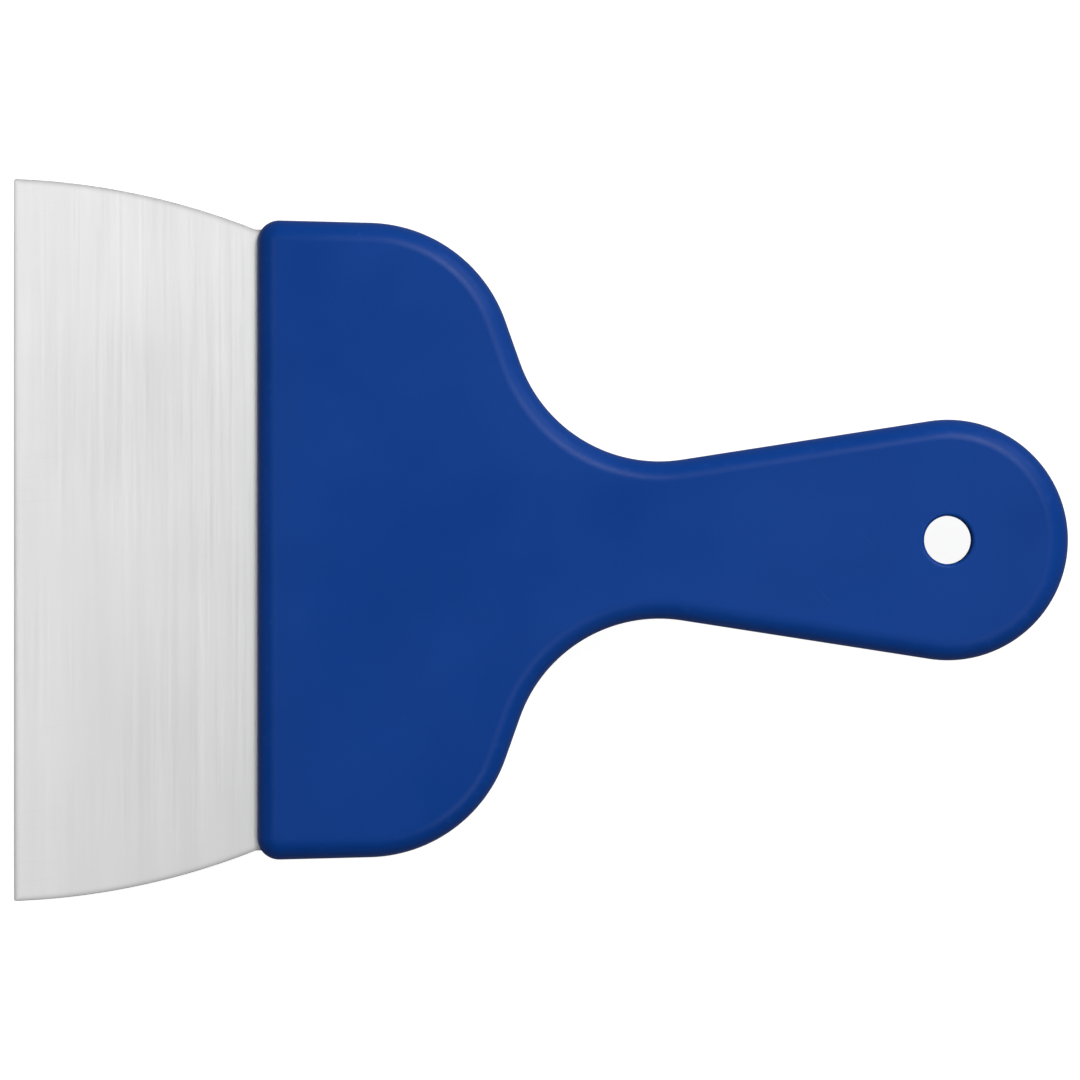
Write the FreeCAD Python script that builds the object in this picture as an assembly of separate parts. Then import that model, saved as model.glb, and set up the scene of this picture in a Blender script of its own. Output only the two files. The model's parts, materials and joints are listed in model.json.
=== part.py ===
# Flexible putty knife with a 150 mm spring-steel blade in a moulded two-shell handle.
#
# The knife lies flat on a table. +X runs from the working edge to the hanging end,
# +Y is across the blade and +Z is up. The origin is under the middle of the knife's
# bounding box, on the table. The blade lies in the handle's mid-plane, where the two
# shells meet.
#
# The real blade is one sheet. Its held part and its free part are separate solids, so
# that a sprung hinge at the handle's mouth can stand in for the bending of the sheet.

import FreeCAD
import Part
import math
import os

# ---------------------------------------------------------------- driving sizes, mm
# Blade
BLADE_WIDTH = 150.0  # along the working edge
BLADE_PROJECTION = 50.5  # from the working edge to the handle's mouth
BLADE_THICKNESS = 0.4
BLADE_SIDE_RADIUS = 151.0  # of the curved sides
BLADE_CORNER_RADIUS = 0.4  # at the two ends of the working edge
BEVEL_WIDTH = 0.8  # of the ground working edge
EDGE_THICKNESS = 0.15  # left at the very edge
ROOT_GAP = 0.1  # between the free part and the handle's mouth

# Tang, the held part of the blade
TANG_DEPTH = 20.0
TANG_CORNER_RADIUS = 3.0
TANG_PIN_COUNT = 5
TANG_PIN_INSET = 11.0  # from the tang's side to the outermost pin

# Handle outline, in plan
HEAD_INSET = 8.5  # from the end of the working edge in to the head's side
ROOT_INSET = 2.0  # from the head's side in to the blade's side, at the mouth
HEAD_DRAFT = 1.5  # degrees, by which the head's sides lean inwards
MOUTH_CORNER_RADIUS = 4.6
SHOULDER_RADIUS = 30.5
FLANK_ANGLE = 70.6  # degrees, between the straight below the shoulder and the X axis
NECK_SETBACK = 83.5  # from the mouth to the narrowest place
NECK_WIDTH = 32.7
NECK_RADIUS = 30.6
GRIP_SETBACK = 143.4  # from the mouth to the centre of the round end
GRIP_END_RADIUS = 25.0

# Handle section
HANDLE_THICKNESS = 12.0
EDGE_ROUND = 4.4  # along the whole rim, both faces
MOUTH_THINNING = 0.9  # taken off each face at the mouth
THINNING_LENGTH = 18.0  # over which the faces run down to the mouth
RIM_BAND = 0.5  # of upright rim kept between rounding and parting line
PARTING_CHAMFER = 0.25  # on both shells, seen as the parting line

# Hanging hole
HOLE_RADIUS = 5.0
HOLE_EDGE_ROUND = 0.8

# Inside of the shells
FACE_WALL = 2.2
SIDE_WALL = 3.0
LIP_DEPTH = 5.5  # of solid plastic behind the mouth
RIB_THICKNESS = 1.6
BOSS_WALL = 1.6  # around a pin or a socket
HOLE_BOSS_WALL = 2.5  # around the hanging hole
PIN_RADIUS = 2.4
PIN_CLEARANCE = 0.05  # between a pin and its socket, on the radius
TANG_HOLE_CLEARANCE = 0.1  # between a pin and its hole in the tang, on the radius
SOCKET_BOTTOM_GAP = 0.3  # below the end of a pin
TANG_SIDE_CLEARANCE = 0.15  # between the tang and the ends of its slot
GRIP_RIB_OFFSET = 7.0  # from the middle to each long rib of the grip

# ---------------------------------------------------------------- places that follow
HANDLE_LENGTH = GRIP_SETBACK + GRIP_END_RADIUS
EDGE_X = -(BLADE_PROJECTION + HANDLE_LENGTH) / 2
MOUTH_X = EDGE_X + BLADE_PROJECTION
GRIP_END_X = MOUTH_X + HANDLE_LENGTH
HOLE_X = MOUTH_X + GRIP_SETBACK
NECK_X = MOUTH_X + NECK_SETBACK
MID_Z = HANDLE_THICKNESS / 2
HEAD_HALF = BLADE_WIDTH / 2 - HEAD_INSET
ROOT_HALF = HEAD_HALF - ROOT_INSET
TANG_STOP_X = MOUTH_X + TANG_DEPTH + TANG_SIDE_CLEARANCE
CAVITY_DEPTH = MID_Z - FACE_WALL
PIN_LENGTH = CAVITY_DEPTH - SOCKET_BOTTOM_GAP
# The hinge line of the free part lies one nose radius and one gap outside the mouth.
NOSE_RADIUS = BLADE_THICKNESS / 2
HINGE_X = MOUTH_X - ROOT_GAP - NOSE_RADIUS
BEYOND = 1.0  # by which a cutting or trimming body stands past what it cuts
SHORTEST_JOIN = 0.5  # of straight between two arcs of the outline

# ---------------------------------------------------------------- small helpers


def vec(x, y, z=0.0):
    return FreeCAD.Vector(x, y, z)


def along(angle):
    """The unit vector in the XY plane at an angle in radians."""
    return vec(math.cos(angle), math.sin(angle))


def line(start, end):
    return Part.LineSegment(start, end).toShape()


def arc(centre, radius, start_angle, end_angle):
    """A circular edge in the XY plane, through its start, middle and end."""
    angles = (start_angle, (start_angle + end_angle) / 2, end_angle)
    return Part.Arc(*[centre + along(a) * radius for a in angles]).toShape()


def mirrored(edges):
    """The same edges on the other side of the XZ plane."""
    return [edge.mirror(vec(0, 0), vec(0, 1)) for edge in edges]


def closed_face(edges):
    return Part.Face(Part.Wire(Part.__sortEdges__(edges)))


def prism(face, low_z, high_z):
    """The solid over a flat face that lies at z = 0."""
    raised = face.copy()
    raised.translate(vec(0, 0, low_z))
    return raised.extrude(vec(0, 0, high_z - low_z))


def box(low_x, high_x, low_y, high_y, low_z, high_z):
    size = (high_x - low_x, high_y - low_y, high_z - low_z)
    return Part.makeBox(*size, vec(low_x, low_y, low_z))


def post(x, y, radius, low_z, high_z):
    """An upright cylinder."""
    return Part.makeCylinder(radius, high_z - low_z, vec(x, y, low_z))


def is_upright(edge):
    first, last = (edge.valueAt(p) for p in edge.ParameterRange)
    return math.hypot(first.x - last.x, first.y - last.y) < 1e-6


def middle(edge):
    return edge.valueAt(sum(edge.ParameterRange) / 2)


# ---------------------------------------------------------------- handle outline


def crossing_tangent(convex_centre, convex_radius, hollow_centre, hollow_radius, turn):
    """The angle of the outline's outward normal on the line that touches both circles.

    The convex circle lies inside the outline and the hollow one outside it, so the line
    crosses between them. turn is +1 or -1 and picks one of the two such lines.
    """
    apart = hollow_centre - convex_centre
    swing = math.acos((convex_radius + hollow_radius) / apart.Length)
    return math.atan2(apart.y, apart.x) + turn * swing


def touching_centre(first, second, radius):
    """The centre of an arc of this radius that touches two straight sides from inside.

    A side is the angle of its outward normal, and its distance out along that normal.
    """
    (first_angle, first_out), (second_angle, second_out) = first, second
    first_in, second_in = first_out - radius, second_out - radius
    spread = math.sin(second_angle - first_angle)
    x = (first_in * math.sin(second_angle) - second_in * math.sin(first_angle)) / spread
    y = (second_in * math.cos(first_angle) - first_in * math.cos(second_angle)) / spread
    return vec(x, y)


def handle_outline():
    """The handle seen from above, as a flat face.

    Each half is a mouth corner, a drafted side, a convex shoulder, a straight flank, a
    hollow neck, a straight taper and the round end, all tangent to each other.
    """
    neck = vec(NECK_X, NECK_WIDTH / 2 + NECK_RADIUS)
    end = vec(HOLE_X, 0)
    side_angle = math.pi / 2 - math.radians(HEAD_DRAFT)
    flank_angle = math.pi / 2 - math.radians(FLANK_ANGLE)
    taper_angle = crossing_tangent(end, GRIP_END_RADIUS, neck, NECK_RADIUS, -1)

    mouth = (math.pi, -MOUTH_X)
    side = (side_angle, along(side_angle).dot(vec(MOUTH_X, HEAD_HALF)))
    flank = (flank_angle, along(flank_angle).dot(neck) - NECK_RADIUS)
    corner = touching_centre(mouth, side, MOUTH_CORNER_RADIUS)

    # The shoulder's arc fits between the mouth's corner and the neck's arc.
    peak = touching_centre(side, flank, 0)
    side_start = corner + along(side_angle) * MOUTH_CORNER_RADIUS
    flank_foot = neck - along(flank_angle) * NECK_RADIUS
    room = min((peak - side_start).Length, (peak - flank_foot).Length) - SHORTEST_JOIN
    radius_in_room = room / math.tan((side_angle - flank_angle) / 2)
    shoulder_radius = min(SHOULDER_RADIUS, radius_in_room)
    shoulder = touching_centre(side, flank, shoulder_radius)

    arcs = [
        arc(corner, MOUTH_CORNER_RADIUS, math.pi, side_angle),
        arc(shoulder, shoulder_radius, side_angle, flank_angle),
        arc(neck, NECK_RADIUS, flank_angle + math.pi, taper_angle + math.pi),
        arc(end, GRIP_END_RADIUS, taper_angle, 0.0),
    ]
    starts = [edge.firstVertex(True).Point for edge in arcs]
    ends = [edge.lastVertex(True).Point for edge in arcs]
    joins = [line(a, b) for a, b in zip([vec(MOUTH_X, 0)] + ends, starts)]
    half = arcs + joins
    return closed_face(half + mirrored(half))


# ---------------------------------------------------------------- handle body


def face_profile():
    """The handle's side view over its whole width: flat faces that thin to the mouth."""
    flat_from = MOUTH_X + THINNING_LENGTH
    radius = (THINNING_LENGTH**2 + MOUTH_THINNING**2) / (2 * MOUTH_THINNING)
    reach = THINNING_LENGTH + BEYOND

    def outer(sign):
        """One face, from the far end to just ahead of the mouth. sign is +1 on top."""

        def on_arc(distance):
            rise = MID_Z - radius + math.sqrt(radius**2 - distance**2)
            return vec(flat_from - distance, 0, MID_Z + sign * rise)

        far = vec(GRIP_END_X + BEYOND, 0, MID_Z + sign * MID_Z)
        run_down = Part.Arc(on_arc(0), on_arc(reach / 2), on_arc(reach)).toShape()
        return [line(far, on_arc(0)), run_down]

    top, bottom = outer(1), outer(-1)
    ends = [
        line(top[0].firstVertex(True).Point, bottom[0].firstVertex(True).Point),
        line(top[1].lastVertex(True).Point, bottom[1].lastVertex(True).Point),
    ]
    section = closed_face(top + bottom + ends)
    half_width = HEAD_HALF + BEYOND
    section.translate(vec(0, -half_width, 0))
    return section.extrude(vec(0, 2 * half_width, 0))


def rim_edges(body, outline, wanted):
    """The level edges of a body that lie on the outline and satisfy wanted(middle)."""
    found = []
    for edge in body.Edges:
        at = middle(edge)
        flat = Part.Vertex(at.x, at.y, 0)
        on_rim = outline.OuterWire.distToShape(flat)[0] < 1e-4
        if on_rim and not is_upright(edge) and wanted(at):
            found.append(edge)
    return found


def handle_body():
    """Both shells in one, outside only, with the rounded rim and the hanging hole."""
    outline = handle_outline()
    block = prism(outline, -BEYOND, HANDLE_THICKNESS + BEYOND)
    slab = block.common(face_profile())
    mouth_half = MID_Z - MOUTH_THINNING
    rounding = min(EDGE_ROUND, mouth_half - RIM_BAND, MOUTH_CORNER_RADIUS - 0.1)
    rounded = slab.makeFillet(rounding, rim_edges(slab, outline, lambda at: True))

    drill = post(HOLE_X, 0, HOLE_RADIUS, -BEYOND, HANDLE_THICKNESS + BEYOND)
    drilled = rounded.cut(drill)
    mouths = [
        edge
        for edge in drilled.Edges
        if isinstance(edge.Curve, Part.Circle)
        and abs(edge.Curve.Radius - HOLE_RADIUS) < 1e-6
    ]
    return drilled.makeFillet(HOLE_EDGE_ROUND, mouths)


# ---------------------------------------------------------------- inside of the shells


def tang_pin_places():
    """The row of pins that pass through the tang, midway between its back and the lip."""
    x = MOUTH_X + (LIP_DEPTH + TANG_DEPTH) / 2
    reach = ROOT_HALF - TANG_PIN_INSET
    step = 2 * reach / (TANG_PIN_COUNT - 1)
    return [(x, -reach + step * i) for i in range(TANG_PIN_COUNT)]


def grip_pin_places():
    """Three pins on the centre line: in the head, at the neck and in the grip."""
    head_x = (TANG_STOP_X + NECK_X) / 2
    grip_x = (NECK_X + HOLE_X) / 2
    return [(x, 0.0) for x in (head_x, NECK_X, grip_x)]


def rib_bodies(low_z, high_z):
    """Plates that stay standing between the pockets."""
    half = RIB_THICKNESS / 2

    def lengthwise(y, far_x):
        return box(MOUTH_X, far_x, y - half, y + half, low_z, high_z)

    def crosswise(x):
        return box(x - half, x + half, -HEAD_HALF, HEAD_HALF, low_z, high_z)

    ribs = [lengthwise(y, HOLE_X) for y in (-GRIP_RIB_OFFSET, GRIP_RIB_OFFSET)]
    ribs += [lengthwise(y, NECK_X) for _, y in tang_pin_places() if y]
    ribs += [crosswise(TANG_STOP_X + half)]
    ribs += [crosswise(x) for x, _ in grip_pin_places() + [(HOLE_X, 0.0)]]
    return ribs


def boss_bodies(low_z, high_z):
    """Round posts that carry the pins, the sockets and the hanging hole."""
    radius = PIN_RADIUS + PIN_CLEARANCE + BOSS_WALL
    places = tang_pin_places() + grip_pin_places()
    bosses = [post(x, y, radius, low_z, high_z) for x, y in places]
    hole_boss = HOLE_RADIUS + HOLE_BOSS_WALL
    return bosses + [post(HOLE_X, 0, hole_boss, low_z, high_z)]


def pockets(low_z, high_z):
    """What is cored out of one shell between its walls, ribs and bosses."""
    inside = prism(handle_outline().makeOffset2D(-SIDE_WALL), low_z, high_z)
    lip_end = MOUTH_X + LIP_DEPTH
    lip = box(MOUTH_X, lip_end, -HEAD_HALF, HEAD_HALF, low_z, high_z)
    return inside.cut([lip] + rib_bodies(low_z, high_z) + boss_bodies(low_z, high_z))


def tang_slot():
    """The room for the tang, open at the mouth and shared by both shells."""
    half_width = ROOT_HALF + TANG_SIDE_CLEARANCE
    low_z = MID_Z - BLADE_THICKNESS / 2
    high_z = MID_Z + BLADE_THICKNESS / 2
    return box(MOUTH_X - BEYOND, TANG_STOP_X, -half_width, half_width, low_z, high_z)


def shell_blank(body, low_z, high_z):
    """One half of the body, with its outer edge broken at the parting line."""
    reach = box(
        EDGE_X, GRIP_END_X + BEYOND, -BLADE_WIDTH, BLADE_WIDTH, low_z, high_z
    )
    half = body.common(reach)
    outline = handle_outline()
    parting = rim_edges(half, outline, lambda at: abs(at.z - MID_Z) < 1e-6)
    return half.makeChamfer(PARTING_CHAMFER, parting)


# ---------------------------------------------------------------- the pieces


def make_front_shell(body):
    """The upper shell, with the pins that hold the blade."""
    blank = shell_blank(body, MID_Z, HANDLE_THICKNESS + BEYOND)
    cored = blank.cut([pockets(MID_Z, MID_Z + CAVITY_DEPTH), tang_slot()])
    root_z = MID_Z + CAVITY_DEPTH
    places = tang_pin_places() + grip_pin_places()
    pins = [post(x, y, PIN_RADIUS, MID_Z - PIN_LENGTH, root_z) for x, y in places]
    return cored.fuse(pins).removeSplitter()


def make_back_shell(body):
    """The lower shell, with the sockets that take the pins."""
    blank = shell_blank(body, -BEYOND, MID_Z)
    floor_z = MID_Z - CAVITY_DEPTH
    radius = PIN_RADIUS + PIN_CLEARANCE
    places = tang_pin_places() + grip_pin_places()
    sockets = [post(x, y, radius, floor_z, MID_Z + BEYOND) for x, y in places]
    return blank.cut([pockets(floor_z, MID_Z), tang_slot()] + sockets)


def make_blade_tang():
    """The held part of the blade: a plate with a hole for each pin."""
    low_z = MID_Z - BLADE_THICKNESS / 2
    high_z = MID_Z + BLADE_THICKNESS / 2
    back = MOUTH_X + TANG_DEPTH
    plate = box(MOUTH_X, back, -ROOT_HALF, ROOT_HALF, low_z, high_z)
    back_corners = [
        edge for edge in plate.Edges if is_upright(edge) and middle(edge).x > MOUTH_X + 1
    ]
    plate = plate.makeFillet(TANG_CORNER_RADIUS, back_corners)
    radius = PIN_RADIUS + TANG_HOLE_CLEARANCE
    holes = [
        post(x, y, radius, low_z - BEYOND, high_z + BEYOND) for x, y in tang_pin_places()
    ]
    return plate.cut(holes)


def blade_plan():
    """The free part seen from above, up to its hinge line and a little past it."""
    edge_end = vec(EDGE_X, BLADE_WIDTH / 2)
    root = vec(HINGE_X, ROOT_HALF)
    chord = root - edge_end
    sagitta = BLADE_SIDE_RADIUS - math.sqrt(BLADE_SIDE_RADIUS**2 - chord.Length**2 / 4)
    outwards = vec(-chord.y, chord.x).normalize()
    bulge = (edge_end + root) * 0.5 + outwards * sagitta
    past = vec(HINGE_X + NOSE_RADIUS + BEYOND, ROOT_HALF)
    half = [
        line(vec(EDGE_X, 0), edge_end),
        Part.Arc(edge_end, bulge, root).toShape(),
        line(root, past),
        line(past, vec(past.x, 0)),
    ]
    return closed_face(half + mirrored(half))


def make_blade():
    """The free part: flat spring steel, a ground working edge and a round root."""
    half = BLADE_THICKNESS / 2
    edge_half = EDGE_THICKNESS / 2
    bevel_x = EDGE_X + BEVEL_WIDTH
    width = BLADE_WIDTH + 2 * BEYOND

    def at(x, dz):
        return vec(x, -width / 2, MID_Z + dz)

    nose = Part.Arc(at(HINGE_X, half), at(HINGE_X + NOSE_RADIUS, 0), at(HINGE_X, -half))
    corners = [
        at(HINGE_X, -half),
        at(bevel_x, -half),
        at(EDGE_X, -edge_half),
        at(EDGE_X, edge_half),
        at(bevel_x, half),
        at(HINGE_X, half),
    ]
    section = closed_face(
        [nose.toShape()] + [line(a, b) for a, b in zip(corners, corners[1:])]
    )
    sheet = section.extrude(vec(0, width, 0))
    trimmed = sheet.common(prism(blade_plan(), -BEYOND, HANDLE_THICKNESS + BEYOND))
    edge_corners = [
        edge
        for edge in trimmed.Edges
        if is_upright(edge) and abs(middle(edge).x - EDGE_X) < 1e-6
    ]
    return trimmed.makeFillet(BLADE_CORNER_RADIUS, edge_corners)


# ---------------------------------------------------------------- build


def only_solid(shape, name):
    """The one valid solid that each piece has to be."""
    if len(shape.Solids) != 1 or not shape.Solids[0].isValid():
        raise ValueError(f"{name} is {len(shape.Solids)} solids or isn't valid")
    return shape.Solids[0]


def main():
    os.makedirs("parts", exist_ok=True)
    body = handle_body()
    pieces = {
        "front_shell": make_front_shell(body),
        "back_shell": make_back_shell(body),
        "blade_tang": make_blade_tang(),
        "blade": make_blade(),
    }
    for name, shape in pieces.items():
        solid = only_solid(shape, name)
        solid.exportStep(f"parts/{name}.step")
        print(f"{name}: {solid.Volume / 1000:.2f} cm3")
    print(f"hinge line of the blade: x {HINGE_X:.3f}, z {MID_Z:.3f}")


main()
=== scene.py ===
# %% [markdown]
# # A flexible putty knife
#
# The knife is a thin sheet of spring steel held between the two halves of a flat plastic
# handle. An engineering model of it already exists, with every size settled, so this
# lesson only makes the looks: smooth rounded handle halves with a textured blue plastic,
# one continuous steel sheet that can bend, and a plain studio to see them in.
#
# Blender works in metres here. The engineering model is loaded first, and the places below
# start from what it says.

# %% Load the engineering model
import bmesh
import bpy
import json
import math
from mathutils import Matrix, Vector


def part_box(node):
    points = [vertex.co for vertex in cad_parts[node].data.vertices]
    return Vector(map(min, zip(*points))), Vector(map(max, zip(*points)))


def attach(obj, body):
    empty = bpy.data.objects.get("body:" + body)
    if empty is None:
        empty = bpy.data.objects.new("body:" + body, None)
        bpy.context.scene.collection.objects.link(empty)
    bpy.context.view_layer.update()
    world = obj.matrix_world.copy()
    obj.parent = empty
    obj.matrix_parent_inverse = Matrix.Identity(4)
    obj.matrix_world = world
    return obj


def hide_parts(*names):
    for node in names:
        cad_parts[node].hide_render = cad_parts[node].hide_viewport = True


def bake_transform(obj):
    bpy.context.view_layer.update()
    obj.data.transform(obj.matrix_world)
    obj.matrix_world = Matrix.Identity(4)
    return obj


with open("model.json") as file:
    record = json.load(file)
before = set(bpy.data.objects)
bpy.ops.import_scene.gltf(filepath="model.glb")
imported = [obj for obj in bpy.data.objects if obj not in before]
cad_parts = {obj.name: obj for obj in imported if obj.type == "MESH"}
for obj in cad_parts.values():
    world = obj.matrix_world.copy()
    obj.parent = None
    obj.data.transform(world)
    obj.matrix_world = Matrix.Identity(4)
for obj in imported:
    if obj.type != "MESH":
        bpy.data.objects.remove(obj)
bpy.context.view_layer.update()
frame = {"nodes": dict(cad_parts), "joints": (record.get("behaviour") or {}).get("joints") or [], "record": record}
MM = 0.001
print("nodes:", ", ".join(sorted(frame["nodes"])))

# %% [markdown]
# ## Sizes
#
# The boxes of the loaded solids say where the handle starts and ends, how thick it is and
# where the blade lies. The joint says where the blade starts to bend, and the record's
# hanging hole has its own place and radius. Only the outline's own sizes, such as its
# radii, angles and widths, have to be named again, because a box can't tell them.

# %% Sizes read from the model
shell_low, shell_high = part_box("front_shell")
back_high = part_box("back_shell")[1]
blade_low, blade_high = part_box("blade")
tang_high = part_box("blade_tang")[1]
flex = next(joint for joint in frame["joints"] if joint["name"] == "blade_flex")
hole = next(m for m in frame["record"]["mounts"] if m["name"] == "hang_hole")

MOUTH_X = shell_low.x
GRIP_END_X = shell_high.x
HOLE_X = hole["pos_m"][0]
HOLE_RADIUS = hole["dims"]["r_mm"] * MM
MID_Z = back_high.z
HALF_THICKNESS = shell_high.z - MID_Z
GRIP_END_RADIUS = GRIP_END_X - HOLE_X
EDGE_X = blade_low.x
HINGE_X = flex["pos_m"][0]
TANG_BACK_X = tang_high.x
ROOT_HALF = tang_high.y
SHEET_HALF = (blade_high.z - blade_low.z) / 2
print("mouth at x", round(MOUTH_X, 5), "hole at x", round(HOLE_X, 5))
print("mid-plane at z", round(MID_Z, 5))

# %% Sizes of the outline and its edges
BLADE_HALF = 75.0 * MM  # half the working edge
BLADE_SIDE_RADIUS = 151.0 * MM
BLADE_CORNER_RADIUS = 0.4 * MM
TANG_CORNER_RADIUS = 3.0 * MM
HEAD_HALF = 66.5 * MM  # half the head's width, measured at the mouth
HEAD_DRAFT = math.radians(1.5)
MOUTH_CORNER_RADIUS = 4.6 * MM
SHOULDER_RADIUS = 30.5 * MM
FLANK_ANGLE = math.radians(70.6)
NECK_X = MOUTH_X + 83.5 * MM
NECK_HALF = 16.35 * MM
NECK_RADIUS = 30.6 * MM
EDGE_ROUND = 4.4 * MM
HOLE_EDGE_ROUND = 0.8 * MM
PARTING_CHAMFER = 0.25 * MM
MOUTH_THINNING = 0.9 * MM  # how far each face has sunk at the mouth
THINNING_LENGTH = 18.0 * MM
SLOT_CLEARANCE = 0.15 * MM  # round the held part's outline, but not above or below it
SAME_PLACE = 1e-7  # metres: points closer together than this count as one
NEARLY_THERE = 1e-6  # metres: a coarser test, for points on the seam or at a known height
print("working edge, mm:", round(2 * BLADE_HALF / MM), "head, mm:", round(2 * HEAD_HALF / MM))

# %% [markdown]
# ## Camera
#
# The knife is looked at from straight above, with the working edge to the left. A long
# lens from far away keeps the sides of the hanging hole and of the rim out of sight, as
# in a catalogue picture. An untouched camera already looks down -Z with +Y at the top of
# the picture, so it only has to be lifted.

# %% Place the camera
VIEW_WIDTH = 224.4 * MM  # how much of the knife's mid-plane fits into the picture
VIEW_CENTRE_X = -0.2 * MM
LENS, SENSOR = 400.0, 36.0  # millimetres
SIGHT_LIMIT = 20.0  # metres

camera_data = bpy.data.cameras.new("camera")
camera_data.lens = LENS
camera_data.sensor_width = SENSOR
camera_data.clip_end = SIGHT_LIMIT
camera = bpy.data.objects.new("camera", camera_data)
camera_height = VIEW_WIDTH * LENS / SENSOR
camera.location = (VIEW_CENTRE_X, 0, MID_Z + camera_height)
bpy.context.scene.collection.objects.link(camera)
bpy.context.scene.camera = camera
print("camera height, m:", round(camera.location.z, 3))

# %% [markdown]
# ## Drawing an outline with a vertex
#
# Both the handle and the blade are flat shapes with straight and round stretches. The
# quickest way to draw such a shape is to treat one vertex as a pen: extruding it leaves a
# straight edge, and spinning it about an upright axis leaves an arc. A table of corner
# points would work too, but nobody could read or change it.


# %% The pen
ARC_STEP = math.radians(2.5)
FEWEST_STEPS = 3  # in an arc, however short it is


def draw_line(bm, pen, x, y):
    """Pull a new vertex out of the pen and leave a straight edge behind it."""
    new = bmesh.ops.extrude_vert_indiv(bm, verts=[pen])["verts"][0]
    bmesh.ops.translate(bm, verts=[new], vec=(x - new.co.x, y - new.co.y, 0))
    return new


def draw_arc(bm, pen, centre, turn, step=ARC_STEP):
    """Spin the pen about a centre, anticlockwise for a positive turn."""
    spun = bmesh.ops.spin(
        bm, geom=[pen], cent=(centre.x, centre.y, pen.co.z), axis=(0, 0, 1), angle=turn,
        steps=max(FEWEST_STEPS, math.ceil(abs(turn) / step)),
    )
    return next(part for part in spun["geom_last"] if isinstance(part, bmesh.types.BMVert))


def close_outline(bm):
    """Join the pen's last point to its first one and fill the shape."""
    bmesh.ops.remove_doubles(bm, verts=bm.verts, dist=SAME_PLACE)
    bmesh.ops.contextual_create(bm, geom=bm.edges)
    return bm.faces[0] if len(bm.faces) == 1 else None


# %% [markdown]
# ## The handle's outline
#
# Each side of the handle is a chain of arcs and straights that touch without a corner: the
# small corner at the mouth, a slightly leaning side, the shoulder, a short straight flank,
# the hollow neck, a straight taper and the round end. The straights are known by the angle
# of their outward normal, and the arcs' centres follow from what they touch. Only one side
# is drawn, and its seam runs along the middle and round half of the hanging hole, so that
# the hole comes with the outline and needs no cutting.


# %% Centres of the arcs
def along(angle):
    """The direction at an angle to the X axis, one unit long."""
    return Vector((math.cos(angle), math.sin(angle)))


def touching_centre(first, second, radius):
    """The centre of an arc that touches two straight sides, each (normal angle, offset)."""
    (a, a_out), (b, b_out) = first, second
    a_in, b_in = a_out - radius, b_out - radius
    x = (a_in * math.sin(b) - b_in * math.sin(a)) / math.sin(b - a)
    y = (b_in * math.cos(a) - a_in * math.cos(b)) / math.sin(b - a)
    return Vector((x, y))


neck = Vector((NECK_X, NECK_HALF + NECK_RADIUS))
round_end = Vector((HOLE_X, 0))
side_angle = math.pi / 2 - HEAD_DRAFT
flank_angle = math.pi / 2 - FLANK_ANGLE
apart = neck - round_end
taper_lean = math.acos((GRIP_END_RADIUS + NECK_RADIUS) / apart.length)
taper_angle = math.atan2(apart.y, apart.x) - taper_lean
mouth = (math.pi, -MOUTH_X)
side = (side_angle, along(side_angle).dot(Vector((MOUTH_X, HEAD_HALF))))
flank = (flank_angle, along(flank_angle).dot(neck) - NECK_RADIUS)
corner = touching_centre(mouth, side, MOUTH_CORNER_RADIUS)
shoulder = touching_centre(side, flank, SHOULDER_RADIUS)
print("taper, degrees a side:", round(math.degrees(taper_angle) - 90, 2))


# %% Draw one side of the handle
def draw_handle_side(bm):
    """The half of the handle with y above 0, as one flat face."""
    pen = bmesh.ops.create_vert(bm, co=(MOUTH_X, 0, 0))["vert"][0]
    pen = draw_line(bm, pen, MOUTH_X, corner.y)
    pen = draw_arc(bm, pen, corner, side_angle - math.pi)
    start = shoulder + along(side_angle) * SHOULDER_RADIUS
    pen = draw_line(bm, pen, *start)
    pen = draw_arc(bm, pen, shoulder, flank_angle - side_angle)
    start = neck - along(flank_angle) * NECK_RADIUS
    pen = draw_line(bm, pen, *start)
    pen = draw_arc(bm, pen, neck, taper_angle - flank_angle)
    start = round_end + along(taper_angle) * GRIP_END_RADIUS
    pen = draw_line(bm, pen, *start)
    pen = draw_arc(bm, pen, round_end, -taper_angle)
    pen = draw_line(bm, pen, HOLE_X + HOLE_RADIUS, 0)
    pen = draw_arc(bm, pen, round_end, math.pi)
    draw_line(bm, pen, MOUTH_X, 0)
    return close_outline(bm)


trial = bmesh.new()
trial_face = draw_handle_side(trial)
print("one side:", len(trial.verts), "points,", round(trial_face.calc_area() / MM**2), "mm2")
trial.free()

# %% [markdown]
# ## One half of the handle
#
# The real handle is two moulded halves that meet at the mid-plane, each with the whole
# rounded rim of its own face. The front half is the drawn side, raised to half of the
# handle's thickness, rounded, and mirrored to the other side. A bevel with many segments
# gives the rim its true radius, where a subdivision surface would pull the corners of the
# mouth out of shape. The wall on the seam is taken out before the rounding, so that the
# rounding runs straight across it and the mirrored side joins without a mark.


# %% Helpers for flat shapes
def everything(bm):
    """All points, edges and faces of a shape."""
    return bm.verts[:] + bm.edges[:] + bm.faces[:]


def raise_face(bm, face, height):
    """Extrude a flat face straight up into a block."""
    raised = bmesh.ops.extrude_face_region(bm, geom=[face])["geom"]
    top = [part for part in raised if isinstance(part, bmesh.types.BMVert)]
    bmesh.ops.translate(bm, verts=top, vec=(0, 0, height))


def add_other_side(bm):
    """Mirror one side over the seam, y = 0, and join the two there."""
    bmesh.ops.mirror(
        bm, geom=everything(bm), matrix=Matrix.Identity(4), merge_dist=NEARLY_THERE, axis="Y"
    )


def cut_across(bm, x):
    """Leave a row of points where the upright plane at x crosses the shape."""
    bmesh.ops.bisect_plane(
        bm, geom=everything(bm), plane_co=(x, 0, 0), plane_no=(1, 0, 0), dist=SAME_PLACE
    )


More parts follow.
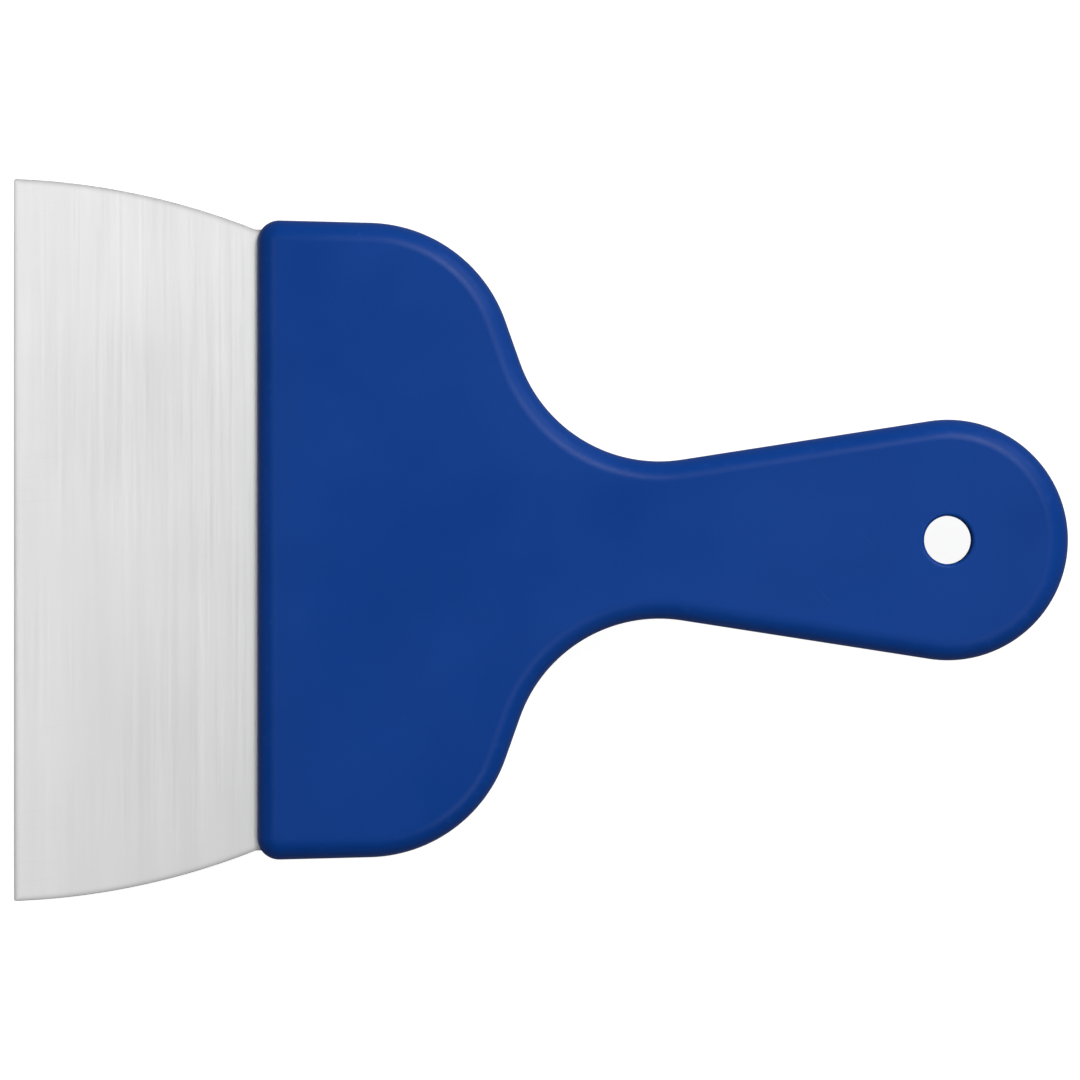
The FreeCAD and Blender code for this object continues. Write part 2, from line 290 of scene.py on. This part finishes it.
# %% Rounding helpers
RIM_SEGMENTS = 14
HOLE_SEGMENTS = 6
HOLE_NEIGHBOURHOOD = 1.05  # in hole radii: an edge this near the hole's middle is round the hole
WALL_NORMAL_Z = 0.5  # a face whose normal points up or down less than this is a wall


def level_edges(bm, z, at_hole):
    """The edges at one height that end a wall, either round the hole or round the rim."""
    found = []
    for edge in bm.edges:
        middle = (edge.verts[0].co + edge.verts[1].co) / 2
        near_hole = (middle.xy - round_end).length < HOLE_RADIUS * HOLE_NEIGHBOURHOOD
        on_wall = any(abs(face.normal.z) < WALL_NORMAL_Z for face in edge.link_faces)
        level = all(abs(v.co.z - z) < SAME_PLACE for v in edge.verts)
        if level and on_wall and len(edge.link_faces) == 2 and near_hole == at_hole:
            found.append(edge)
    return found


def round_off(bm, parts, radius, segments, affect="EDGES"):
    """Bevel edges, or corner points, to a radius. One segment makes a chamfer."""
    bmesh.ops.bevel(
        bm, geom=parts, offset=radius, offset_type="OFFSET", segments=segments,
        profile=0.5, affect=affect, clamp_overlap=False, material=-1,
    )


# %% Raise, round and mirror one side
def make_half_block():
    """The front half before its face is thinned, standing on z = 0."""
    bm = bmesh.new()
    raise_face(bm, draw_handle_side(bm), HALF_THICKNESS)
    bm.normal_update()
    seam = [f for f in bm.faces if all(abs(v.co.y) < NEARLY_THERE for v in f.verts)]
    bmesh.ops.delete(bm, geom=seam, context="FACES")

    round_off(bm, level_edges(bm, HALF_THICKNESS, False), EDGE_ROUND, RIM_SEGMENTS)
    bm.normal_update()
    round_off(bm, level_edges(bm, HALF_THICKNESS, True), HOLE_EDGE_ROUND, HOLE_SEGMENTS)
    bm.normal_update()
    round_off(bm, level_edges(bm, 0, False), PARTING_CHAMFER, 1)

    add_other_side(bm)
    bmesh.ops.recalc_face_normals(bm, faces=bm.faces)
    return bm


def count_open_edges(bm):
    return sum(not edge.is_manifold for edge in bm.edges)


half = make_half_block()
print("half block:", len(half.faces), "faces,", count_open_edges(half), "open edges")
print("half block, mm3:", round(half.calc_volume() / MM**3))

# %% [markdown]
# ## Thinning the head towards the mouth
#
# The last 18 mm of each face sink gently towards the blade, so that the handle can be held
# almost flat on a wall. The block has no points there to move yet. A row of plane cuts
# across it makes them, and then every point of the face and of its rounding sinks by the
# height of a large arc. Moving both together keeps the rounding's radius.

# %% Cut rows of points and let the face sink
THINNING_CUTS = 12
flat_from = MOUTH_X + THINNING_LENGTH
thinning_radius = (THINNING_LENGTH**2 + MOUTH_THINNING**2) / (2 * MOUTH_THINNING)


def sinking(x):
    """How far the face lies below its highest level at this place along the handle."""
    reach = max(0.0, flat_from - x)
    return thinning_radius - math.sqrt(thinning_radius**2 - reach**2)


for cut in range(THINNING_CUTS):
    cut_across(half, flat_from - cut * THINNING_LENGTH / THINNING_CUTS)
foot_of_rounding = HALF_THICKNESS - EDGE_ROUND - NEARLY_THERE
for vert in half.verts:
    if vert.co.z > foot_of_rounding:
        vert.co.z -= sinking(vert.co.x)
bmesh.ops.translate(half, verts=half.verts, vec=(0, 0, MID_Z))
mouth_face = HALF_THICKNESS - sinking(MOUTH_X)
print("face at the mouth, mm above the mid-plane:", round(mouth_face / MM, 2))

# %% [markdown]
# ## Smooth shading that keeps flat faces flat
#
# A rounded rim beside a large flat face shades wrongly if every corner's normal is a plain
# average: the flat face looks pillowed. Weighted normals let the larger face decide, so the
# face stays flat and the rim takes up the whole turn. Edges that are real corners, such as
# the parting chamfer, are marked sharp first.

# %% Turn a bmesh into a finished piece
SHARP_ANGLE = math.radians(32)
LARGER_FACE_WINS = 100  # the modifier's strongest weight


def mark_smooth(bm):
    """Shade every face smooth and every real corner sharp."""
    for face in bm.faces:
        face.smooth = True
    for edge in bm.edges:
        edge.smooth = not (edge.is_manifold and edge.calc_face_angle() > SHARP_ANGLE)


def new_piece(name, bm):
    """An object at the origin with its place in its mesh."""
    mesh = bpy.data.meshes.new(name)
    bm.to_mesh(mesh)
    bm.free()
    piece = bpy.data.objects.new(name, mesh)
    bpy.context.scene.collection.objects.link(piece)
    return piece


def weight_normals(piece):
    modifier = piece.modifiers.new("weighted normals", "WEIGHTED_NORMAL")
    modifier.keep_sharp = True
    modifier.weight = LARGER_FACE_WINS


# %% [markdown]
# ## The slot and the second half
#
# Each half has a shallow recess for the held part of the blade. It is as deep as half of
# the sheet, so the two halves grip the steel without a gap. A boolean with a flat block cuts
# it, because the recess runs out through the chamfered mouth, where no inset could follow.
# The back half is the same shape turned over: scaling a mesh by -1 turns it inside out, so
# its faces are flipped.

# %% Cut the slot
CUTTER_OVERRUN = 1.0 * MM  # how far the block stands out of the mouth


def cut_slot(piece):
    """Take the room for the blade out of a half and keep the result as its mesh."""
    bm = bmesh.new()
    bmesh.ops.create_cube(bm, size=1)
    low_x = MOUTH_X - CUTTER_OVERRUN
    high_x = TANG_BACK_X + SLOT_CLEARANCE
    width = 2 * (ROOT_HALF + SLOT_CLEARANCE)
    bmesh.ops.scale(bm, verts=bm.verts, vec=(high_x - low_x, width, 2 * SHEET_HALF))
    bmesh.ops.translate(bm, verts=bm.verts, vec=((low_x + high_x) / 2, 0, MID_Z))
    cutter = new_piece("cutter", bm)
    modifier = piece.modifiers.new("slot", "BOOLEAN")
    modifier.object = cutter
    modifier.operation = "DIFFERENCE"
    modifier.solver = "EXACT"
    evaluated = piece.evaluated_get(bpy.context.evaluated_depsgraph_get())
    cut_mesh = bpy.data.meshes.new_from_object(evaluated)
    piece.modifiers.remove(modifier)
    piece.data = cut_mesh
    bpy.data.objects.remove(cutter)


def refine(piece, turned_over=False):
    """Mark real corners, and turn the piece over about the mid-plane if asked."""
    bm = bmesh.new()
    bm.from_mesh(piece.data)
    if turned_over:
        about_middle = Matrix.Translation((0, 0, -MID_Z))
        bmesh.ops.scale(bm, verts=bm.verts, vec=(1, 1, -1), space=about_middle)
        bmesh.ops.reverse_faces(bm, faces=bm.faces)
    bm.normal_update()
    mark_smooth(bm)
    print(piece.name, "mm3:", round(bm.calc_volume(signed=True) / MM**3))
    print(piece.name, "open edges:", count_open_edges(bm))
    bm.to_mesh(piece.data)
    bm.free()
    weight_normals(piece)


# %% Make both halves
front_half = new_piece("front_half", half)
cut_slot(front_half)
back_half = bpy.data.objects.new("back_half", front_half.data.copy())
bpy.context.scene.collection.objects.link(back_half)
refine(front_half)
refine(back_half, turned_over=True)

# %% [markdown]
# ## The blade
#
# The blade and its held part are one sheet, 0.4 mm thick. Its outline is drawn with the
# same pen, this time with the steel's curved sides. The sides of a stamped sheet are not
# knife sharp: the punch rolls them over a little, which a small bevel shows. The working
# edge is ground from both faces, so there the sheet gets thinner over its last 0.8 mm.

# %% Centre of the blade's curved side
SIDE_STEP = math.radians(0.8)
edge_end = Vector((EDGE_X, BLADE_HALF))
root = Vector((HINGE_X, ROOT_HALF))
chord = root - edge_end
outwards = Vector((-chord.y, chord.x)).normalized()
chord_to_centre = math.sqrt(BLADE_SIDE_RADIUS**2 - chord.length_squared / 4)
side_centre = (edge_end + root) / 2 - outwards * chord_to_centre
side_sweep = 2 * math.asin(chord.length / 2 / BLADE_SIDE_RADIUS)
print("blade's side turns by, degrees:", round(math.degrees(side_sweep), 1))


# %% Draw the sheet
def draw_sheet_side(bm):
    """The wire round the half of the sheet with y above 0, from one seam to the other."""
    tang_corner = Vector((TANG_BACK_X - TANG_CORNER_RADIUS, ROOT_HALF - TANG_CORNER_RADIUS))
    pen = bmesh.ops.create_vert(bm, co=(EDGE_X, 0, 0))["vert"][0]
    pen = draw_line(bm, pen, *edge_end)
    pen = draw_arc(bm, pen, side_centre, -side_sweep, SIDE_STEP)
    pen = draw_line(bm, pen, tang_corner.x, ROOT_HALF)
    pen = draw_arc(bm, pen, tang_corner, -math.pi / 2)
    draw_line(bm, pen, TANG_BACK_X, 0)


# %% Raise the sheet and roll its rim over
CORNER_SEGMENTS = 6
ROLL_OVER = 0.11 * MM
ROLL_SEGMENTS = 4


def make_sheet():
    """The whole sheet at its full thickness, before its edge is ground."""
    bm = bmesh.new()
    draw_sheet_side(bm)
    add_other_side(bm)
    at_edge = [v for v in bm.verts if abs(v.co.x - EDGE_X) < NEARLY_THERE]
    tips = [v for v in at_edge if abs(v.co.y) > BLADE_HALF / 2]
    round_off(bm, tips, BLADE_CORNER_RADIUS, CORNER_SEGMENTS, affect="VERTICES")
    raise_face(bm, close_outline(bm), 2 * SHEET_HALF)
    bmesh.ops.recalc_face_normals(bm, faces=bm.faces)
    rims = [e for e in bm.edges if abs(e.verts[0].co.z - e.verts[1].co.z) < SAME_PLACE]
    round_off(bm, rims, ROLL_OVER, ROLL_SEGMENTS)
    bmesh.ops.translate(bm, verts=bm.verts, vec=(0, 0, MID_Z - SHEET_HALF))
    return bm


sheet = make_sheet()
heights = [v.co.z / MM for v in sheet.verts]
print("sheet:", len(sheet.faces), "faces, z", round(min(heights), 3), "to", round(max(heights), 3))

# %% Grind the working edge
GRIND_WIDTH = 0.8 * MM
EDGE_THICKNESS = 0.15 * MM
GRIND_CUTS = 3
for cut in range(GRIND_CUTS):
    cut_across(sheet, EDGE_X + GRIND_WIDTH * (cut + 1) / GRIND_CUTS)
for vert in sheet.verts:
    ground = max(0, 1 - (vert.co.x - EDGE_X) / GRIND_WIDTH)
    thinner = 1 - ground * (1 - EDGE_THICKNESS / (2 * SHEET_HALF))
    vert.co.z = MID_Z + (vert.co.z - MID_Z) * thinner
print("thickness at the working edge, mm:", EDGE_THICKNESS / MM)

# %% [markdown]
# ## Points for the bend
#
# A bending sheet needs rows of points along the way that it bends. Plane cuts from the
# handle's mouth to the working edge give it one about every millimetre. Its faces stay
# flat.

# %% Cut the sheet into rows
BEND_ROWS = 48
LAST_ROW_INSET = 1.0 * MM  # the ground edge beyond it has rows of its own
last_row_x = EDGE_X + LAST_ROW_INSET
for row in range(BEND_ROWS):
    cut_across(sheet, HINGE_X + (last_row_x - HINGE_X) * row / (BEND_ROWS - 1))
mark_smooth(sheet)
print("rows:", BEND_ROWS, "open edges:", count_open_edges(sheet))
print("sheet, mm3:", round(sheet.calc_volume(signed=True) / MM**3))
blade_sheet = new_piece("blade_sheet", sheet)
weight_normals(blade_sheet)

# %% [markdown]
# ## Small helpers for materials
#
# A material here is a tree of nodes. Written out one node at a time, its plan gets lost
# among the links, so each kind of step gets a helper that returns the socket to go on
# from. All patterns are procedural and read Object coordinates, so they belong to the
# piece and not to the room. A Mapping node of the texture type divides by its scale, so
# that a pattern's grain can be given as a length.


# %% Node helpers
def new_material(name):
    """A new material, its node tree and its main shader."""
    material = bpy.data.materials.new(name)
    material.use_nodes = True
    return material, material.node_tree, material.node_tree.nodes["Principled BSDF"]


def connect(tree, node, key, value):
    """Give an input a value, or another node's socket."""
    if isinstance(value, bpy.types.NodeSocket):
        tree.links.new(value, node.inputs[key])
    else:
        node.inputs[key].default_value = value


def add(tree, kind, inputs=None, **settings):
    """A node with its settings and inputs."""
    node = tree.nodes.new(kind)
    for name, value in settings.items():
        setattr(node, name, value)
    for key, value in (inputs or {}).items():
        connect(tree, node, key, value)
    return node


# %% Patterns and sums
WIDE_NOISE = (0.3, 0.7)  # the part of a noise's range that makes a change from end to end
NARROW_NOISE = (0.35, 0.65)  # the same, for a change with more contrast


def object_place(tree):
    return add(tree, "ShaderNodeTexCoord").outputs["Object"]


def object_noise(tree, cell, turn=0.0, detail=2.0, roughness=0.5):
    """Noise on Object coordinates. cell is its grain's size, one length or one along each axis."""
    sizes = cell if isinstance(cell, tuple) else (cell, cell, cell)
    mapping = {"Vector": object_place(tree), "Rotation": (0, 0, turn), "Scale": sizes}
    vector = add(tree, "ShaderNodeMapping", mapping, vector_type="TEXTURE").outputs["Vector"]
    inputs = {"Vector": vector, "Scale": 1, "Detail": detail, "Roughness": roughness}
    return add(tree, "ShaderNodeTexNoise", inputs).outputs["Fac"]


def remap(tree, value, low, high, to_low, to_high):
    """Turn the range low..high of a value into to_low..to_high, and hold it there."""
    inputs = {"Value": value, "From Min": low, "From Max": high, "To Min": to_low, "To Max": to_high}
    return add(tree, "ShaderNodeMapRange", inputs).outputs["Result"]


def combine(tree, operation, a, b):
    return add(tree, "ShaderNodeMath", {0: a, 1: b}, operation=operation).outputs["Value"]


def share_out(tree, first, share, second):
    """Add two values, the first by its share and the second by what is left."""
    first_part = combine(tree, "MULTIPLY", first, share)
    return combine(tree, "ADD", first_part, combine(tree, "MULTIPLY", second, 1 - share))


# %% Colours and bumps
MIX_FACTOR, MIX_FIRST, MIX_SECOND, MIX_RESULT = 0, 6, 7, 2  # the Mix node's colour sockets


def mix_colour(tree, factor, a, b):
    inputs = {MIX_FACTOR: factor, MIX_FIRST: a, MIX_SECOND: b}
    return add(tree, "ShaderNodeMix", inputs, data_type="RGBA").outputs[MIX_RESULT]


def bump(tree, height, distance, strength, under=None):
    """A bump, on top of an earlier one if there is one."""
    inputs = {"Height": height, "Distance": distance, "Strength": strength}
    if under:
        inputs["Normal"] = under
    return add(tree, "ShaderNodeBump", inputs).outputs["Normal"]


# %% [markdown]
# ## Blue moulded plastic
#
# The handle is polypropylene, coloured through. Its mould was spark eroded, which leaves a
# very fine pebbled skin that breaks up reflections, so the plastic looks satin and deep,
# not glossy. Three layers make it: a fine bump for the skin, a broad and shallow one for
# the slight unevenness where the wall shrank over its ribs, and small changes of colour
# and roughness where hands have polished it. A handled tool also has hair-thin scratches,
# and a rim that is rubbed a little paler in spots.

# %% Scratches in the plastic
SCRATCH_SETS = ((0.4, 22 * MM), (-0.9, 17 * MM), (1.7, 20 * MM))  # each set's turn and length
SCRATCH_WIDTH, SCRATCH_HEIGHT = 0.31 * MM, 3 * MM
SCRATCH_PEAKS = (0.735, 0.80)  # only noise this high becomes a scratch
SCRATCHED_PATCH = 45 * MM
PATCH_NOISE = (0.45, 0.7)


def hair_scratches(tree):
    """Noise stretched into streaks, kept where it peaks and only in some patches."""
    scratches = None
    for turn, length in SCRATCH_SETS:
        streak = object_noise(tree, (length, SCRATCH_WIDTH, SCRATCH_HEIGHT), turn, detail=1)
        streak = remap(tree, streak, *SCRATCH_PEAKS, 0, 1)
        scratches = combine(tree, "MAXIMUM", scratches, streak) if scratches else streak
    patches = remap(tree, object_noise(tree, SCRATCHED_PATCH, detail=1), *PATCH_NOISE, 0, 1)
    return combine(tree, "MULTIPLY", scratches, patches)


# %% Rubbed spots on the rim
RIM_NEAR_WALL = (0.55, 0.8)  # how upright the surface's normal is where the spots fade in
RIM_NEAR_FACE = (0.92, 0.99)  # and where they fade out again
RUBBED_SPOT = 2.4 * MM
RUBBED_PEAKS = (0.56, 0.72)


def rubbed_rim(tree):
    """Worn spots on the rounding, where the surface turns away from flat."""
    normal = add(tree, "ShaderNodeNewGeometry").outputs["Normal"]
    normal_z = add(tree, "ShaderNodeSeparateXYZ", {0: normal}).outputs["Z"]
    upright = combine(tree, "ABSOLUTE", normal_z, 0)
    off_wall = remap(tree, upright, *RIM_NEAR_WALL, 0, 1)
    rim = combine(tree, "MULTIPLY", off_wall, remap(tree, upright, *RIM_NEAR_FACE, 1, 0))
    spots = object_noise(tree, RUBBED_SPOT, detail=4, roughness=0.7)
    return combine(tree, "MULTIPLY", rim, remap(tree, spots, *RUBBED_PEAKS, 0, 1))


# %% Mix the plastic
PLASTIC_BLUE = (0.0020, 0.0335, 0.194, 1)
PLASTIC_LIGHT = (0.0034, 0.0380, 0.212, 1)
SCUFF_BLUE = (0.018, 0.072, 0.290, 1)
COLOUR_CLOUD = 26 * MM
SCRATCHED_SHOWS, RUBBED_SHOWS = 0.35, 0.22  # how strongly each kind of wear shows
POLISH_CLOUD = 33 * MM
POLISH_ROUGHNESS = (0.34, 0.41)
SKIN_GRAIN = 0.5 * MM
SKIN_ROUGHNESS = 0.03  # how far the skin's grain moves the roughness either way
WORN_ROUGHNESS = 0.15
SHRINK_CLOUD = 38 * MM
SHRINK_BUMP = (0.25 * MM, 0.35)  # each bump's depth, less than 0 for a groove, and strength
SKIN_BUMP = (0.025 * MM, 0.6)
SCRATCH_BUMP = (-0.01 * MM, 0.5)
PLASTIC_SHINE = 0.08


def make_plastic():
    """Satin blue plastic with a moulded skin and faint wear."""
    material, tree, shader = new_material("blue_polypropylene")
    cloud = remap(tree, object_noise(tree, COLOUR_CLOUD, detail=3), *NARROW_NOISE, 0, 1)
    colour = mix_colour(tree, cloud, PLASTIC_BLUE, PLASTIC_LIGHT)
    scratches = hair_scratches(tree)
    scratched = combine(tree, "MULTIPLY", scratches, SCRATCHED_SHOWS)
    wear = combine(tree, "MAXIMUM", scratched, combine(tree, "MULTIPLY", rubbed_rim(tree), RUBBED_SHOWS))
    connect(tree, shader, "Base Color", mix_colour(tree, wear, colour, SCUFF_BLUE))

    polish = remap(tree, object_noise(tree, POLISH_CLOUD, detail=3), *WIDE_NOISE, *POLISH_ROUGHNESS)
    grain = object_noise(tree, SKIN_GRAIN)
    skin = remap(tree, grain, *WIDE_NOISE, -SKIN_ROUGHNESS, SKIN_ROUGHNESS)
    roughness = combine(tree, "ADD", polish, skin)
    roughness = combine(tree, "ADD", roughness, combine(tree, "MULTIPLY", wear, WORN_ROUGHNESS))
    connect(tree, shader, "Roughness", roughness)

    shrink = bump(tree, object_noise(tree, SHRINK_CLOUD, detail=1), *SHRINK_BUMP)
    pebbles = bump(tree, grain, *SKIN_BUMP, under=shrink)
    connect(tree, shader, "Normal", bump(tree, scratches, *SCRATCH_BUMP, under=pebbles))
    connect(tree, shader, "Specular IOR Level", PLASTIC_SHINE)
    return material


plastic = make_plastic()
print("plastic:", len(plastic.node_tree.nodes), "nodes")

# %% [markdown]
# ## Rolled spring steel
#
# Cold-rolled stainless strip is bright but not a mirror. The rolls and a fine belt leave
# grain that runs along the strip, which is across this blade, parallel to the working
# edge. Seen from above, it spreads every reflection into a soft, almost even grey. Noise
# stretched along Y is that grain, in three scales: the two finer ones are more than a
# hundred times as long as they are wide, and the broad one about twenty times. It drives
# the roughness more than the colour, because real grain is a matter of shape. The working
# edge has been drawn over walls, so fine scratches run back from it. The rim is painted a
# little darker, a painted shade that stands in for the shade of its rolled and ground edge.

# %% Scratches behind the working edge
USE_REACH = 16 * MM  # how far from the edge the last scratches end
USE_STREAK = (16 * MM, 0.19 * MM, 0.19 * MM)
USE_TURN = 0.12
USE_PEAKS = (0.66, 0.78)


def edge_scratches(tree, x):
    """Scratches of use that start at the working edge and fade out."""
    near_edge = remap(tree, x, EDGE_X, EDGE_X + USE_REACH, 1, 0)
    streaks = object_noise(tree, USE_STREAK, turn=USE_TURN, detail=1)
    return combine(tree, "MULTIPLY", remap(tree, streaks, *USE_PEAKS, 0, 1), near_edge)


# %% The painted shade along the rim
# Painted shade: a darker line along the blade's outline, standing in for the shade of its rolled and ground edge.
RIM_SHADE = 0.62  # how strong it is at the very rim
RIM_SHADE_WIDTH = 1.4 * MM
RIM_SHADE_FALL = 2  # the power by which it falls off inwards


def painted_rim_shade(tree, x, y):
    """How strong the painted shade on the rim is: full strength at the outline, and nothing a little way in."""
    folded = add(tree, "ShaderNodeCombineXYZ", {0: x, 1: combine(tree, "ABSOLUTE", y, 0)})
    ends = {0: folded.outputs[0], 1: (*side_centre, 0)}
    reach = add(tree, "ShaderNodeVectorMath", ends, operation="DISTANCE").outputs["Value"]
    from_side = combine(tree, "SUBTRACT", BLADE_SIDE_RADIUS, reach)
    from_rim = combine(tree, "MINIMUM", from_side, combine(tree, "SUBTRACT", x, EDGE_X))
    nearness = remap(tree, from_rim, 0, RIM_SHADE_WIDTH, 1, 0)
    return combine(tree, "MULTIPLY", combine(tree, "POWER", nearness, RIM_SHADE_FALL), RIM_SHADE)


# %% Mix the steel
STEEL_DARK = (0.695, 0.695, 0.695, 1)
STEEL_LIGHT = (0.730, 0.730, 0.730, 1)
SCRATCH_GREY = (0.52, 0.52, 0.52, 1)
# the colour of the painted shade along the blade's rim
PAINTED_SHADE_GREY = (0.20, 0.20, 0.20, 1)
FINE_GRAIN = (0.11 * MM, 14 * MM, 0.11 * MM)
MEDIUM_GRAIN = (0.55 * MM, 62 * MM, 0.55 * MM)
BROAD_GRAIN = (6 * MM, 110 * MM, 6 * MM)
STEEL_CLOUD = 33 * MM
FINE_SHARE, BROAD_SHARE = 0.5, 0.6
USE_SHOWS = 0.25  # how strongly the scratches change the colour
STEEL_ROUGHNESS = (0.39, 0.45)
CLOUD_ROUGHNESS = 0.01
GRAIN_BUMP = (0.004 * MM, 0.4)  # each bump's depth and strength, as for the plastic
USE_BUMP = (-0.004 * MM, 0.5)


def make_steel():
    """Bright rolled steel with a painted shade along its rim and faint scratches of use."""
    material, tree, shader = new_material("rolled_steel")
    fine = object_noise(tree, FINE_GRAIN)
    grain = share_out(tree, fine, FINE_SHARE, object_noise(tree, MEDIUM_GRAIN, detail=3))
    cloud = object_noise(tree, STEEL_CLOUD, detail=3)
    along_blade = add(tree, "ShaderNodeSeparateXYZ", {0: object_place(tree)}).outputs
    x, y = along_blade["X"], along_blade["Y"]
    used = edge_scratches(tree, x)

    tone = share_out(tree, object_noise(tree, BROAD_GRAIN), BROAD_SHARE, grain)
    colour = mix_colour(tree, remap(tree, tone, *NARROW_NOISE, 0, 1), STEEL_DARK, STEEL_LIGHT)
    colour = mix_colour(tree, combine(tree, "MULTIPLY", used, USE_SHOWS), colour, SCRATCH_GREY)
    # painted shade: the rim is mixed towards a dark grey
    connect(tree, shader, "Base Color", mix_colour(tree, painted_rim_shade(tree, x, y), colour, PAINTED_SHADE_GREY))

    roughness = remap(tree, grain, *WIDE_NOISE, *STEEL_ROUGHNESS)
    uneven = remap(tree, cloud, *WIDE_NOISE, -CLOUD_ROUGHNESS, CLOUD_ROUGHNESS)
    connect(tree, shader, "Roughness", combine(tree, "ADD", roughness, uneven))
    connect(tree, shader, "Metallic", 1.0)

    lines = bump(tree, grain, *GRAIN_BUMP)
    connect(tree, shader, "Normal", bump(tree, used, *USE_BUMP, under=lines))
    return material


steel = make_steel()
print("steel:", len(steel.node_tree.nodes), "nodes")

# %% Give the pieces their materials
for piece, material in ((front_half, plastic), (back_half, plastic), (blade_sheet, steel)):
    piece.data.materials.clear()
    piece.data.materials.append(material)
    print(piece.name, "is", material.name)

# %% [markdown]
# ## A pale table
#
# The knife is held just above a pale table, because its blade bends down as well as up,
# and the table mustn't cut it off. The joint's own limit says how much room that takes.
# The table also glows, but only for the camera: nearly white by the knife, where it can
# still take a faint shadow, and fading to plain white further out, so that a low view
# shows no horizon.

# %% Table
TABLE_REACH = 4.0  # metres from the middle to each side
TABLE_GREY = (0.30, 0.30, 0.30, 1)
TABLE_ROUGHNESS = 0.9
WHITE = (1, 1, 1, 1)
TABLE_GLOW = 0.92
NEAR_TABLE, FAR_TABLE = 0.15, 0.5  # metres, between which the glow rises to 1

furthest_bend = math.radians(max(abs(limit) for limit in flex["range_deg"]))
table_z = MID_Z - (HINGE_X - EDGE_X) * math.sin(furthest_bend)
floor_bm = bmesh.new()
bmesh.ops.create_grid(floor_bm, x_segments=1, y_segments=1, size=TABLE_REACH)
bmesh.ops.translate(floor_bm, verts=floor_bm.verts, vec=(0, 0, table_z))
floor = new_piece("floor", floor_bm)
print("table, mm below the knife:", round(-table_z / MM, 1))

# %% The table's material
table, tree, shader = new_material("pale_table")
seen = add(tree, "ShaderNodeLightPath").outputs["Is Camera Ray"]
from_middle = {0: object_place(tree)}
away = add(tree, "ShaderNodeVectorMath", from_middle, operation="LENGTH").outputs["Value"]
glow = remap(tree, away, NEAR_TABLE, FAR_TABLE, TABLE_GLOW, 1.0)
connect(tree, shader, "Base Color", TABLE_GREY)
connect(tree, shader, "Roughness", TABLE_ROUGHNESS)
connect(tree, shader, "Specular IOR Level", 0.0)
connect(tree, shader, "Emission Color", WHITE)
connect(tree, shader, "Emission Strength", combine(tree, "MULTIPLY", seen, glow))
floor.data.materials.append(table)
print("table:", len(tree.nodes), "nodes")

# %% [markdown]
# ## Studio light
#
# Brushed steel and satin plastic need different light: the steel has to mirror something
# bright, while the blue stays deep only if nothing bright is mirrored in its flat face. So
# nothing hangs straight above. The softboxes stand round the knife at a slant, where the
# steel's rough grain still catches them, and where the plastic shows them only as a thin
# line along its rounded rim. The main one stands behind the upper side, and two small ones
# near the blade make the steel brighter towards its working edge.


# %% Lights
def add_softbox(name, bearing, height, distance, size, power):
    """A square light that faces the knife. bearing and height are angles in degrees."""
    lift = Matrix.Rotation(math.radians(-height), 3, "Y")
    towards = Matrix.Rotation(math.radians(bearing), 3, "Z") @ lift
    place = towards @ Vector((distance, 0, 0))
    data = bpy.data.lights.new(name, "AREA")
    data.size = size
    data.energy = power
    light = bpy.data.objects.new(name, data)
    light.location = place
    light.rotation_euler = (-place).to_track_quat("-Z", "Y").to_euler()
    bpy.context.scene.collection.objects.link(light)


add_softbox("main_softbox", bearing=57, height=58, distance=1.0, size=0.35, power=7.8)
add_softbox("low_softbox", bearing=45, height=25, distance=1.0, size=0.5, power=3.0)
add_softbox("front_softbox", bearing=315, height=58, distance=1.0, size=0.4, power=2.4)
add_softbox("blade_softbox", bearing=152, height=50, distance=0.45, size=0.2, power=0.29)
add_softbox("left_softbox", bearing=200, height=60, distance=0.45, size=0.2, power=0.20)

# %% [markdown]
# ## The room
#
# The pieces mirror the room as well as the softboxes. It has grey walls that are brightest
# at the horizon and fade to a nearly black ceiling, which keeps the blue deep. The camera
# doesn't see these walls: it sees plain white instead, like the far table.

# %% The world
HORIZON_LIGHT, CEILING_LIGHT = 0.35, 0.01
WALL_TOP = 0.45  # where the ceiling's darkness is reached, as the sine of the climb

world = bpy.data.worlds.new("studio")
bpy.context.scene.world = world
world.use_nodes = True
tree = world.node_tree
way = add(tree, "ShaderNodeTexCoord").outputs["Generated"]
climb = add(tree, "ShaderNodeSeparateXYZ", {0: way}).outputs["Z"]
walls = remap(tree, climb, 0, WALL_TOP, HORIZON_LIGHT, CEILING_LIGHT)
dim = add(tree, "ShaderNodeBackground", {"Color": WHITE, "Strength": walls})
white = add(tree, "ShaderNodeBackground", {"Color": WHITE, "Strength": 1.0})
seen = add(tree, "ShaderNodeLightPath").outputs["Is Camera Ray"]
both = add(tree, "ShaderNodeMixShader", {0: seen, 1: dim.outputs[0], 2: white.outputs[0]})
tree.links.new(both.outputs[0], tree.nodes["World Output"].inputs["Surface"])
bpy.context.scene.view_settings.view_transform = "Standard"
print("world:", len(tree.nodes), "nodes")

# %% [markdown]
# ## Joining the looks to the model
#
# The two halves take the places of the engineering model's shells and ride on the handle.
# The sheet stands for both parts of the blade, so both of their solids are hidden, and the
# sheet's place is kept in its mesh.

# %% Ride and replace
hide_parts("front_shell")
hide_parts("back_shell")
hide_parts("blade", "blade_tang")
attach(front_half, "handle")
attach(back_half, "handle")
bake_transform(blade_sheet)
